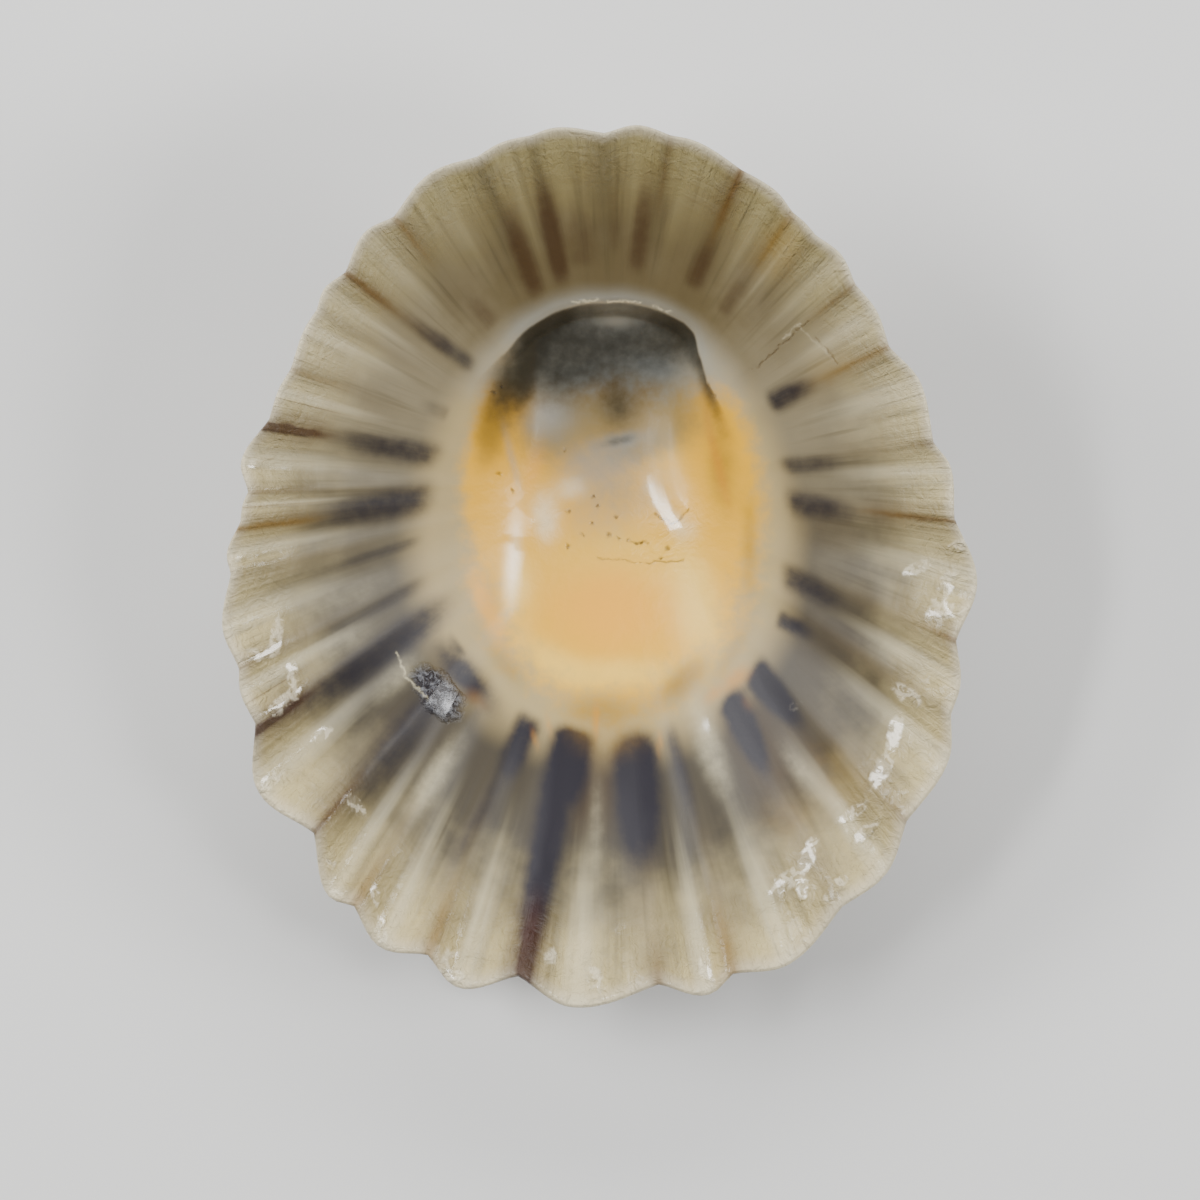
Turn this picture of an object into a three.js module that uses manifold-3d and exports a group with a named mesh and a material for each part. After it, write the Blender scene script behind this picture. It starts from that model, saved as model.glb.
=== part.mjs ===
// A limpet shell lying on its back, bowl upwards, at rest on the worn spot of its outer side.
// Millimetres. +X is the shell's right as seen looking into the bowl, +Y its front end, +Z up.
// Every point is placed from the ray centre: the point in the bowl where all the ribs aim.
import * as THREE from 'three';
import Module from 'manifold-3d';

const { degToRad, lerp, smoothstep } = THREE.MathUtils;

// The plain oval that the rim follows, as a radius from the ray centre: a mean radius, the shift
// towards the left and towards the back, and how much narrower the shell is than it is long
const ovalRadius = 19.8;
const ovalLeft = 0.7;
const ovalBack = 4.5;
const ovalNarrow = 2.2;

// Each row is one rib: the angle of the valley before it, how far the rim stands out from the
// oval there, the angle of its crest, and how far the rim stands out on the crest
const ribs = [
  [6.5, -0.15, 17, 0.3],
  [25.5, -0.4, 32.5, -0.1],
  [38.5, -0.3, 44, 0],
  [50, -0.35, 53, -0.3],
  [55.5, -0.35, 60.5, -0.05],
  [67, -0.15, 76.5, 0.2],
  [80, 0.1, 85, 0.3],
  [91, -0.25, 99.5, 0.2],
  [103, 0.05, 107.5, 0.15],
  [112.5, -0.05, 120.5, 0.4],
  [129.5, -0.2, 135, 0.3],
  [142, -0.25, 146.5, 0.15],
  [150, -0.1, 153, -0.05],
  [161, -0.35, 165, -0.2],
  [170, -0.3, 177, 0.45],
  [182, -0.3, 184, -0.15],
  [186.5, -0.2, 191, 0.3],
  [194, 0, 200.5, 0.45],
  [207, -0.25, 209.5, -0.1],
  [214.5, -0.5, 221, 0.65],
  [230, -0.9, 236, 0.6],
  [239, 0, 243.5, 0.8],
  [249, -0.25, 253, 0.6],
  [259.5, -1, 266, 0.15],
  [275.5, -0.85, 281, 0.3],
  [284, -0.3, 290.5, 0.6],
  [298.5, -0.15, 305, 0.4],
  [311, -0.3, 320.5, 0.4],
  [325.5, -0.2, 329.5, 0],
  [335, -0.5, 345, 0.7],
  [353.5, -0.1, 362, 0.35],
];
const flankRise = 0.6; // share of a rib's height reached halfway from valley to crest

// The bowl
const bowlDepth = 10; // from the rim down to the floor at the ray centre
const bellySide = 13; // how full the side walls are
const bellyFront = 4; // how much fuller the front wall is than the sides
const bellyBack = 0.5; // how much fuller the back wall is than the sides
const innerRib = 0.7; // height of the ribs' ripple inside, as a share of their height at the rim
const rimRipple = 0.6; // how far the rim rises and falls, as a share of the same height

// The hollow under the apex: a steep lip at the front, fading towards the ray centre
const hollowDrop = 3;
const hollowX = -0.3;
const hollowFlat = 3.2; // half the width that has the full drop
const hollowWidth = 7; // half the width at which the drop has faded out
const hollowBack = -3; // where the drop starts, going forwards
const hollowFull = 6; // where the drop is full
const lipFoot = 0.45; // the lip's foot and crest, as shares of the way out to the rim
const lipCrest = 0.505;

// The wall and the outer side
const edgeWall = 0.55; // thickness at the rim
const wallGain = 0.75; // what the wall gains in the outer fifth
const floorGain = 1; // and what it gains from there to the ray centre
const apexX = -0.3;
const apexY = 7.4; // the ribs bend towards it more and more on their way in from the rim
const crownHeight = 2.3; // the broad crown that covers the hollow
const crownWidth = 6.6;
const crownLength = 4.6;
const crownY = 6.2;
const tipHeight = 0.7; // the worn apex on the crown
const tipRadius = 3;
const outerRib = 0.9; // height of the ribs outside, as a share of their height at the rim

// The pose at rest: how far the front end and the right side are raised, and the worn flat spot
const frontRaised = degToRad(13.5);
const rightRaised = degToRad(0.6);
const wornAway = 0.25;

// Rings of points from the ray centre to the rim, inside and outside, as shares of the way out
const innerRings = [0.06, 0.16, 0.27, 0.37, 0.44, 0.465, 0.49, 0.52, 0.6, 0.7, 0.8, 0.89, 0.96];
const outerRings = [0.985, 0.95, 0.88, 0.8, 0.72, 0.64, 0.56, 0.48, 0.4, 0.32, 0.24, 0.16, 0.08];

const shellColour = 0xb3a78c;
const shellRoughness = 0.4;

// Angles round the shell with the rim's stand-out at each: valley, flank, crest and flank of each rib
function ribStations() {
  return ribs.flatMap(([valley, notch, crest, lobe], i) => {
    const next = ribs[(i + 1) % ribs.length];
    const end = i + 1 < ribs.length ? next[0] : next[0] + 360;
    return [
      { angle: degToRad(valley), fold: notch },
      { angle: degToRad((valley + crest) / 2), fold: lerp(notch, lobe, flankRise) },
      { angle: degToRad(crest), fold: lobe },
      { angle: degToRad((crest + end) / 2), fold: lerp(next[1], lobe, flankRise) },
    ];
  });
}

// Radius of the plain oval at an angle
function ovalAt(angle) {
  const turned = ovalLeft * Math.cos(angle) + ovalBack * Math.sin(angle);
  return ovalRadius - turned - ovalNarrow * Math.cos(2 * angle);
}

// Depth of the plain bowl: a curve level at the ray centre, plus a belly that fills the wall out
function bowlAt(share, angle) {
  const front = Math.max(Math.sin(angle), 0) ** 2;
  const back = Math.max(-Math.sin(angle), 0) ** 2;
  const belly = bellySide + bellyFront * front + bellyBack * back;
  const curve = 1 - 3 * share ** 2 + 2 * share ** 3;
  return bowlDepth * curve + belly * share ** 2 * (1 - share);
}

// Extra depth of the hollow behind its lip
function hollowAt(x, y, share) {
  const across = 1 - smoothstep(Math.abs(x - hollowX), hollowFlat, hollowWidth);
  const along = smoothstep(y, hollowBack, hollowFull);
  return hollowDrop * across * along * (1 - smoothstep(share, lipFoot, lipCrest));
}

// A point of the inner side
function innerPoint({ angle, fold }, share) {
  const radius = share * (ovalAt(angle) + fold * share ** 2);
  const x = radius * Math.cos(angle);
  const y = radius * Math.sin(angle);
  const ripple = innerRib * fold * smoothstep(share, 0.45, 0.95);
  return [x, y, -bowlAt(share, angle) - hollowAt(x, y, share) - ripple];
}

// A point of the rim: lower on the ribs, higher in the valleys
function rimPoint({ angle, fold }) {
  const radius = ovalAt(angle) + fold;
  return [radius * Math.cos(angle), radius * Math.sin(angle), -rimRipple * fold];
}

// Depth of the outer side without its ribs: the bowl, its wall, the crown and the apex
function outerDepth(x, y) {
  const angle = Math.atan2(y, x);
  const share = Math.min(Math.hypot(x, y) / ovalAt(angle), 1);
  const wall = edgeWall + wallGain * (1 - smoothstep(share, 0.8, 1))
    + floorGain * (1 - smoothstep(share, 0.2, 0.8));
  const crown = Math.exp(-(((x - apexX) / crownWidth) ** 2) - ((y - crownY) / crownLength) ** 2);
  const tip = Math.exp(-((Math.hypot(x - apexX, y - apexY) / tipRadius) ** 2));
  return bowlAt(share, angle) + wall + crownHeight * crown + tipHeight * tip;
}

// A point of the outer side, on a growth line that shrinks from the rim to the apex
function outerPoint({ angle, fold }, share) {
  const radius = share * (ovalAt(angle) + fold * share ** 2);
  const pull = (1 - share) ** 2;
  const x = radius * Math.cos(angle) + apexX * pull;
  const y = radius * Math.sin(angle) + apexY * pull;
  return [x, y, -outerDepth(x, y) - outerRib * fold * share];
}

// The closed skin: the floor's middle point, rings out to the rim and back, and the apex
function shellSkin() {
  const stations = ribStations();
  const middle = { angle: 0, fold: 0 };
  const rings = [
    ...innerRings.map((share) => stations.map((station) => innerPoint(station, share))),
    stations.map(rimPoint),
    ...outerRings.map((share) => stations.map((station) => outerPoint(station, share))),
  ];
  const points = [innerPoint(middle, 0), ...rings.flat(), outerPoint(middle, 0)];
  const count = stations.length;
  const last = points.length - 1;
  const at = (ring, i) => 1 + ring * count + (i % count);
  const faces = [];
  for (let i = 0; i < count; i += 1) {
    faces.push([0, at(0, i), at(0, i + 1)]);
    for (let ring = 0; ring + 1 < rings.length; ring += 1) {
      faces.push([at(ring, i), at(ring + 1, i), at(ring, i + 1)]);
      faces.push([at(ring, i + 1), at(ring + 1, i), at(ring + 1, i + 1)]);
    }
    faces.push([at(rings.length - 1, i), last, at(rings.length - 1, i + 1)]);
  }
  return { points, faces };
}

// The skin leaned back until its lowest place is under its centre of mass
function leaned([x, y, z]) {
  return [x, y, z + y * Math.tan(frontRaised) + x * Math.tan(rightRaised)];
}

// The solid with its lowest place worn to a small level spot
async function wornSolid({ points, faces }) {
  const wasm = await Module();
  wasm.setup();
  const skin = new wasm.Mesh({
    numProp: 3,
    vertProperties: new Float32Array(points.flat()),
    triVerts: new Uint32Array(faces.flat()),
  });
  const lowest = Math.min(...points.map((point) => point[2]));
  return new wasm.Manifold(skin).trimByPlane([0, 0, 1], lowest + wornAway).getMesh();
}

const skin = shellSkin();
const solid = await wornSolid({ points: skin.points.map(leaned), faces: skin.faces });

const geometry = new THREE.BufferGeometry();
geometry.setAttribute('position', new THREE.BufferAttribute(new Float32Array(solid.vertProperties), 3));
geometry.setIndex(new THREE.BufferAttribute(new Uint32Array(solid.triVerts), 1));
geometry.computeBoundingBox();
const middle = geometry.boundingBox.getCenter(new THREE.Vector3());
geometry.translate(-middle.x, -middle.y, -geometry.boundingBox.min.z);
geometry.computeVertexNormals();

const shell = new THREE.Mesh(
  geometry,
  new THREE.MeshStandardMaterial({ color: shellColour, roughness: shellRoughness, metalness: 0 }),
);
shell.name = 'shell';

const limpet = new THREE.Group();
limpet.add(shell);

export default limpet;
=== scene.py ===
import math

import bpy
import numpy as np
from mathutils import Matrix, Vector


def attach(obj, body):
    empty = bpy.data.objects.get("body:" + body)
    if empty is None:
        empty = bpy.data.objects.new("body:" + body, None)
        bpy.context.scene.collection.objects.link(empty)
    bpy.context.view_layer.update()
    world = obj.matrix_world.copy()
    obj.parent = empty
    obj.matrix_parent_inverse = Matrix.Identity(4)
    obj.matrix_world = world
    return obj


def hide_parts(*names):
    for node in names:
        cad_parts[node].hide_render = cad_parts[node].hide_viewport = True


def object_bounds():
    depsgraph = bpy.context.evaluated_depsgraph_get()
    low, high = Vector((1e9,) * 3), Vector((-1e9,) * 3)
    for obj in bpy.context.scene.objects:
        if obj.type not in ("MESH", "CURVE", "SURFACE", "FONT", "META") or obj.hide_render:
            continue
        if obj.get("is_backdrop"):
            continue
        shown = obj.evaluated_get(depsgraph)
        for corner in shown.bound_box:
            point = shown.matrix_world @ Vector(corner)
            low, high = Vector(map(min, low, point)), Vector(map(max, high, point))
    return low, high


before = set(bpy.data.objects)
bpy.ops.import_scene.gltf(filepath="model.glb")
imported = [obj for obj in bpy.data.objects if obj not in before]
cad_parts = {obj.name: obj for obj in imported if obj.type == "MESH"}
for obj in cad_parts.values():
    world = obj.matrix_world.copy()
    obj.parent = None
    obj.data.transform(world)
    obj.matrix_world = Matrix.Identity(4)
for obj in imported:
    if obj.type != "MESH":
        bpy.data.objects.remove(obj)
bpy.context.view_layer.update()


# The shell's form: one wall of chalky shell that the animal grew outwards from the apex, laying
# each new edge in folds that became ribs. Lengths are in millimetres from the ray centre, the
# place in the bowl that all the ribs aim at; angles are in degrees, from the right, leftwards.
RIBS = np.array([  # valley, rim's stand-out there, crest, rim's stand-out there
    (6.5, -0.15, 17, 0.3), (25.5, -0.4, 32.5, -0.1), (38.5, -0.3, 44, 0), (50, -0.35, 53, -0.3),
    (55.5, -0.35, 60.5, -0.05), (67, -0.15, 76.5, 0.2), (80, 0.1, 85, 0.3), (91, -0.25, 99.5, 0.2),
    (103, 0.05, 107.5, 0.15), (112.5, -0.05, 120.5, 0.4), (129.5, -0.2, 135, 0.3),
    (142, -0.25, 146.5, 0.15), (150, -0.1, 153, -0.05), (161, -0.35, 165, -0.2),
    (170, -0.3, 177, 0.45), (182, -0.3, 184, -0.15), (186.5, -0.2, 191, 0.3), (194, 0, 200.5, 0.45),
    (207, -0.25, 209.5, -0.1), (214.5, -0.5, 221, 0.65), (230, -0.9, 236, 0.6), (239, 0, 243.5, 0.8),
    (249, -0.25, 253, 0.6), (259.5, -1, 266, 0.15), (275.5, -0.85, 281, 0.3), (284, -0.3, 290.5, 0.6),
    (298.5, -0.15, 305, 0.4), (311, -0.3, 320.5, 0.4), (325.5, -0.2, 329.5, 0), (335, -0.5, 345, 0.7),
    (353.5, -0.1, 362, 0.35),
])
OVAL_RADIUS = 19.8  # the rim's mean distance
OVAL_LEFT, OVAL_BACK, OVAL_NARROW = 0.7, 4.5, 2.2  # how far it leans left and back, and narrows
BOWL_DEPTH = 10.0  # from the rim down to the floor at the ray centre
BELLY_SIDE, BELLY_FRONT, BELLY_BACK = 13.0, 4.0, 0.5  # how full the walls are, and how much fuller
INNER_RIB, OUTER_RIB = 0.62, 0.9  # height of the ribs, as a share of how far they stand out at the rim
OUTER_CREASE, INNER_CREASE = 0.5, 0.1  # how sharp the valleys are: 0 is as round as the crests
RIPPLE_START = 0.45  # the way out at which the ribs begin to show inside
MARGIN_START, MARGIN_FULL = 0.55, 0.95  # between these the floor's swellings become the margin's
HOLLOW_DROP, HOLLOW_X, HOLLOW_FLAT, HOLLOW_WIDTH = 3.0, -0.3, 3.2, 7.0
HOLLOW_BACK, HOLLOW_FULL = -3.0, 6.0  # where the drop starts, going forwards, and where it is full
LIP_ANGLES = (20, 45, 55, 60, 65, 75, 110, 120, 128, 136, 143, 160)
LIP_SHARES = (0.42, 0.43, 0.475, 0.51, 0.52, 0.515, 0.505, 0.495, 0.485, 0.485, 0.495, 0.49)
LIP_DEPTH = 0.04  # how far the lip's face runs inwards, as a share of the way out to the rim
LIP_BEAD = 0.12  # height of the bead along the lip
BEAD_PLACE, BEAD_WIDTH = 0.012, 0.014  # how far out from the lip it stands, and its width, as shares
EDGE_WALL, WALL_GAIN, FLOOR_GAIN = 0.55, 0.75, 1.0  # thickness at the rim, and gains on the way in
APEX_X, APEX_Y = -0.3, 7.4
CROWN_HEIGHT, CROWN_WIDTH, CROWN_LENGTH, CROWN_Y = 2.3, 6.6, 4.6, 6.2  # the swelling over the hollow
TIP_HEIGHT, TIP_RADIUS = 0.7, 3.0  # the blunt point at the apex
GROWTH_STOPS = (0.32, 0.41, 0.49, 0.56, 0.64, 0.7, 0.77, 0.83, 0.88, 0.925, 0.96)
GROWTH_STEP = 0.12  # height of the ledge at each stop
GROWTH_WANDER = 0.012  # how far a stop strays in and out on its way round, as a share
STEP_START, STEP_END = 0.006, 0.012  # how far a ledge runs to either side of its stop, as shares
RIBLET_HEIGHT, RIBLET_COUNT = 0.1, 97
RIBLET_SWAY = 3  # how far the riblets are pushed together and apart, in radians of their wave
SWELLING_FLOOR, SWELLING_MARGIN, SWELLING_OUTSIDE = 0.02, 0.06, 0.04  # height of uneven places
FRONT_RAISED, RIGHT_RAISED = math.radians(13.5), math.radians(0.6)
RAY_CENTRE = (0.535, 4.473, 12.752)  # its place in the part's frame, at the height of the rim
MM = 0.001

rng = np.random.default_rng(31)


def smooth(low, high, value):
    """0 at low, 1 at high, and between them three times the square of the way less twice its cube."""
    way = np.clip((value - low) / (high - low), 0, 1)
    return way * way * (3 - 2 * way)


def bell(value, width):
    """1 where the value is 0, falling as a bell curve to 0.37 at the width."""
    return np.exp(-((value / width) ** 2))


RIB_KNOTS = np.append(RIBS[:, [0, 2]].ravel(), RIBS[0, 0] + 360)
RIB_HEIGHTS = np.append(RIBS[:, [1, 3]].ravel(), RIBS[0, 1])


def rib_place(angle):
    """The half-rib that an angle is on, and its way from valley (0) to crest (1)."""
    turned = (angle - RIB_KNOTS[0]) % 360 + RIB_KNOTS[0]
    half = np.clip(np.searchsorted(RIB_KNOTS, turned, side="right") - 1, 0, len(RIB_KNOTS) - 2)
    way = (turned - RIB_KNOTS[half]) / (RIB_KNOTS[half + 1] - RIB_KNOTS[half])
    return half, np.where(half % 2 == 0, way, 1 - way)


def fold_at(angle, crease=OUTER_CREASE):
    """How far the rim stands out from its oval: from valley to crest it rises by a sine, as far
    as the crease says, and an S-curve for the rest, so that valleys are creases and crests round."""
    half, way = rib_place(angle)
    valley = np.where(half % 2 == 0, RIB_HEIGHTS[half], RIB_HEIGHTS[half + 1])
    crest = np.where(half % 2 == 0, RIB_HEIGHTS[half + 1], RIB_HEIGHTS[half])
    rise = crease * np.sin(np.pi / 2 * way) + (1 - crease) / 2 * (1 - np.cos(np.pi * way))
    return valley + (crest - valley) * rise


def oval_at(angle):
    """The rim's oval: a mean radius, less a cosine, a sine and a cosine of twice the angle."""
    turn = np.radians(angle)
    shift = OVAL_LEFT * np.cos(turn) + OVAL_BACK * np.sin(turn)
    return OVAL_RADIUS - shift - OVAL_NARROW * np.cos(2 * turn)


def bowl_at(share, angle):
    """Depth of the plain bowl: a curve that is level at the ray centre, plus a belly in the wall
    that grows as the square of the way out and is gone at the rim."""
    sine = np.sin(np.radians(angle))
    belly = BELLY_SIDE + BELLY_FRONT * np.maximum(sine, 0) ** 2 + BELLY_BACK * np.maximum(-sine, 0) ** 2
    return BOWL_DEPTH * (1 - 3 * share**2 + 2 * share**3) + belly * share**2 * (1 - share)


def waves(across, along, count, longest, shortest):
    """Low uneven swellings, about -1 to 1: a sum of plane waves in random directions, each with
    a wavelength drawn between the two given."""
    total = np.zeros(np.broadcast(across, along).shape)
    for _ in range(count):
        heading, start = rng.uniform(0, 2 * np.pi, 2)
        size = longest * (shortest / longest) ** rng.uniform()
        run = across * math.cos(heading) + along * math.sin(heading)
        total += np.sin(2 * np.pi * run / size + start)
    return total / math.sqrt(2 * count)


def lip_at(angle):
    """The share of the way out at which the hollow's lip stands."""
    return np.interp(angle % 360, LIP_ANGLES, LIP_SHARES)


def hollow_reach(x, y):
    """1 in the full depth of the hollow, fading to the sides and back."""
    across = 1 - smooth(HOLLOW_FLAT, HOLLOW_WIDTH, np.abs(x - HOLLOW_X))
    return across * smooth(HOLLOW_BACK, HOLLOW_FULL, y)


def inner_wall(angle, share):
    """Points of the inside. The way out to the rim is the share. Depth is the bowl's, plus the
    hollow's drop inside its lip, the ribs' ripple, which grows outwards, and low swellings."""
    turn = np.radians(angle)
    fold = fold_at(angle)
    radius = share * (oval_at(angle) + fold * share**2)
    x, y = radius * np.cos(turn), radius * np.sin(turn)
    lip, reach = lip_at(angle), hollow_reach(x, y)
    drop = HOLLOW_DROP * reach * (1 - smooth(lip - LIP_DEPTH, lip, share))
    bead = LIP_BEAD * reach * bell(share - lip - BEAD_PLACE, BEAD_WIDTH)
    ripple = INNER_RIB * fold_at(angle, INNER_CREASE) * smooth(RIPPLE_START, 1, share)
    margin = smooth(MARGIN_START, MARGIN_FULL, share)
    uneven = SWELLING_FLOOR * waves(x, y, count=14, longest=9, shortest=3) * (1 - margin)
    uneven += SWELLING_MARGIN * waves(x, y, count=18, longest=4, shortest=1.4) * margin
    return x, y, -(bowl_at(share, angle) + drop - bead + ripple + uneven * smooth(1, 0.97, share))


def outer_wall(angle, share):
    """Points of the outside, on growth lines that shrink from the rim to the apex. Depth is the
    bowl's, plus the wall, the crown over the hollow, the worn tip, the ribs with their finer
    riblets, and a small ledge at each growth stop. The ledges are taken less the straight lines
    through their middles, so that they leave the wall as thick as it was."""
    turn = np.radians(angle)
    fold = fold_at(angle)
    radius = share * (oval_at(angle) + fold * share**2)
    pull = (1 - share) ** 2
    x, y = radius * np.cos(turn) + APEX_X * pull, radius * np.sin(turn) + APEX_Y * pull
    here = np.degrees(np.arctan2(y, x))
    out = np.clip(np.hypot(x, y) / oval_at(here), 0, 1)
    wall = EDGE_WALL + WALL_GAIN * (1 - smooth(0.8, 1, out)) + FLOOR_GAIN * (1 - smooth(0.2, 0.8, out))
    crown = bell(np.hypot((x - APEX_X) / CROWN_WIDTH, (y - CROWN_Y) / CROWN_LENGTH), 1)
    tip = bell(np.hypot(x - APEX_X, y - APEX_Y), TIP_RADIUS)
    depth = bowl_at(out, here) + wall + CROWN_HEIGHT * crown + TIP_HEIGHT * tip
    circle_x, circle_y = np.cos(turn), np.sin(turn)
    strays = waves(10 * circle_x, 10 * circle_y, count=12, longest=9, shortest=2)
    wander = share + GROWTH_WANDER * strays
    ledges = sum(1 - smooth(stop - STEP_START, stop + STEP_END, wander) for stop in GROWTH_STOPS)
    stops_further_out = len(GROWTH_STOPS) - np.arange(len(GROWTH_STOPS)) - 0.5
    ledges = GROWTH_STEP * (ledges - np.interp(wander, GROWTH_STOPS, stops_further_out))
    sway = RIBLET_SWAY * waves(8 * circle_x, 8 * circle_y, count=6, longest=9, shortest=3)
    riblets = RIBLET_HEIGHT * share * np.sin(turn * RIBLET_COUNT + sway)
    rough = SWELLING_OUTSIDE * waves(x, y, count=20, longest=3, shortest=1)
    return x, y, -(depth + OUTER_RIB * fold * share + (ledges + riblets + rough) * smooth(1, 0.96, share))


def placed(x, y, z):
    """Points about the ray centre, leaned back into the pose at rest and moved into the frame."""
    raised = z + y * math.tan(FRONT_RAISED) + x * math.tan(RIGHT_RAISED)
    return np.stack([x + RAY_CENTRE[0], y + RAY_CENTRE[1], raised + RAY_CENTRE[2]], axis=-1) * MM


# The skin: rings of points from the ray centre out to the rim, round the edge and back to the
# apex outside. Points stand on every valley and crest, and lie closest at the hollow's lip.
STEPS_PER_DEGREE = 1.1
ANGLES = np.concatenate([
    np.linspace(start, end, max(3, round((end - start) * STEPS_PER_DEGREE)), endpoint=False)
    for start, end in zip(RIB_KNOTS[:-1], RIB_KNOTS[1:])
])
LIP_START, LIP_END = 0.42, 0.54  # the shares between which the lip stands
OUTERMOST = 0.99  # the last ring on each side, from which the round edge starts
INNER_SHARES = np.concatenate([
    np.linspace(0.01, LIP_START, 40, endpoint=False),
    np.linspace(LIP_START, LIP_END, 36, endpoint=False),
    np.linspace(LIP_END, OUTERMOST, 50),
])
OUTER_SHARES = np.linspace(OUTERMOST, 0.02, 100)
EDGE_STEPS = 5
EDGE_ROUND = 0.007  # how far the round edge stands out, as a share of the way out to the rim
EDGE_SHARE = 0.998  # the way out that the round edge's marks are worked out at

inner_angles, inner_shares = np.meshgrid(ANGLES, INNER_SHARES)
inner = np.stack(inner_wall(inner_angles, inner_shares), axis=-1)
outer_angles, outer_shares = np.meshgrid(ANGLES, OUTER_SHARES)
outer = np.stack(outer_wall(outer_angles, outer_shares), axis=-1)
turns = np.linspace(0, np.pi, EDGE_STEPS + 2)[1:-1, None, None]
outwards = np.stack([np.cos(np.radians(ANGLES)), np.sin(np.radians(ANGLES)), 0 * ANGLES], axis=-1)
middle, half_way = (inner[-1] + outer[0]) / 2, (inner[-1] - outer[0]) / 2
edge = middle + half_way * np.cos(turns) + EDGE_ROUND * oval_at(ANGLES)[:, None] * outwards * np.sin(turns)

skin = np.concatenate([inner, edge, outer])
rows, columns = skin.shape[:2]
floor_point = np.array([[0, 0, inner[0, :, 2].mean()]])
apex_point = np.array([[APEX_X, APEX_Y, outer[-1, :, 2].mean()]])
points = np.concatenate([floor_point, skin.reshape(-1, 3), apex_point])
vertices = placed(*points.T)
vertices[:, 2] = np.maximum(vertices[:, 2], 0)  # the worn flat spot

ring = np.arange(columns)
following = (ring + 1) % columns
first = 1 + np.arange(rows - 1)[:, None] * columns
second = first + columns
quads = np.stack([first + ring, second + ring, second + following, first + following], axis=-1)
last_row = 1 + (rows - 1) * columns
floor_fan = np.stack([0 * ring, 1 + ring, 1 + following], axis=-1)
apex_fan = np.stack([last_row + ring, 0 * ring + len(points) - 1, last_row + following], axis=-1)

mesh = bpy.data.meshes.new("limpet_shell")
faces = [*quads.reshape(-1, 4).tolist(), *floor_fan.tolist(), *apex_fan.tolist()]
mesh.from_pydata(vertices, [], faces)
mesh.shade_smooth()
outside_rows = len(inner) + EDGE_STEPS // 2
finish_index = np.zeros(len(mesh.polygons), np.int32)  # 0 is the inside's finish, 1 the outside's
finish_index[outside_rows * columns:quads.shape[0] * columns] = 1
finish_index[-columns:] = 1
mesh.polygons.foreach_set("material_index", finish_index)

shell = bpy.data.objects.new("limpet_shell", mesh)
bpy.context.scene.collection.objects.link(shell)
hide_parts("shell")
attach(shell, "root")


# The marks: dark rays that show where the ribs' valleys lie under the glaze, brown lines that run
# from them to the rim, soft stains on the callus, a dark stain with painted shade in the hollow,
# painted highlights, and places that shine. Each is a value on the points of the mesh, worked out
# from the angle, the way out and the plan.
point_angle = np.concatenate([[0], np.tile(ANGLES, rows), [0]])
edge_shares = np.full(EDGE_STEPS, EDGE_SHARE)
row_share = np.concatenate([INNER_SHARES, edge_shares, OUTER_SHARES])
point_share = np.concatenate([[0], np.repeat(row_share, columns), [0]])
plan_x, plan_y = points[:, 0], points[:, 1]


def mark(name, values):
    """Stores one value, or one vector, for every point of the mesh."""
    values = np.asarray(values, np.float32)
    kind, field = ("FLOAT", "value") if values.ndim == 1 else ("FLOAT_VECTOR", "vector")
    mesh.attributes.new(name, kind, "POINT").data.foreach_set(field, values.ravel())


def turned_from(angle):
    """Degrees from an angle to each point, the short way round."""
    return (point_angle - angle + 180) % 360 - 180


RAYS = (  # angle at its inner end and its outer end, shares there, half-widths there, darkness
    (4.5, 4.5, 0.52, 0.74, 3.6, 2, 0.6), (25.5, 25.5, 0.56, 0.74, 4.2, 2.5, 0.75),
    (140.5, 141.5, 0.52, 0.76, 3, 2, 0.6), (158, 158, 0.51, 0.61, 3, 2, 0.4),
    (172, 171, 0.49, 0.86, 5, 1.6, 0.68), (185.5, 187.5, 0.48, 0.84, 6, 2.2, 0.72),
    (197.5, 197.5, 0.5, 0.78, 1.8, 1, 0.5), (208.5, 209, 0.5, 0.8, 2.2, 1.2, 0.5),
    (217.5, 215.5, 0.46, 1.02, 4.6, 1.5, 0.74), (231, 230.5, 0.56, 0.95, 3.6, 3, 0.64),
    (228, 228, 0.47, 0.55, 4.4, 2.6, 0.6),
    (240, 240, 0.47, 0.58, 2, 1.4, 0.4), (251.5, 250, 0.48, 0.64, 3.2, 2.2, 0.9),
    (250, 247, 0.58, 0.92, 1.7, 1, 0.5), (262, 261, 0.48, 0.66, 4.8, 3.4, 1.2),
    (260.2, 260, 0.52, 1.02, 3.4, 1.5, 1.05), (275.3, 274.5, 0.49, 0.78, 4.8, 2.8, 1.2),
    (283.5, 284, 0.49, 0.74, 1.9, 1.2, 0.6), (299, 298, 0.505, 0.7, 3.6, 1.4, 1.2),
    (307, 308.2, 0.505, 0.68, 3.8, 1.5, 1.2), (320.5, 323, 0.5, 0.61, 2.4, 1.8, 0.75),
    (331.5, 332.5, 0.49, 0.7, 4.2, 2.2, 0.66), (353, 352.5, 0.51, 0.74, 4.8, 2, 0.66),
)
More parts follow.
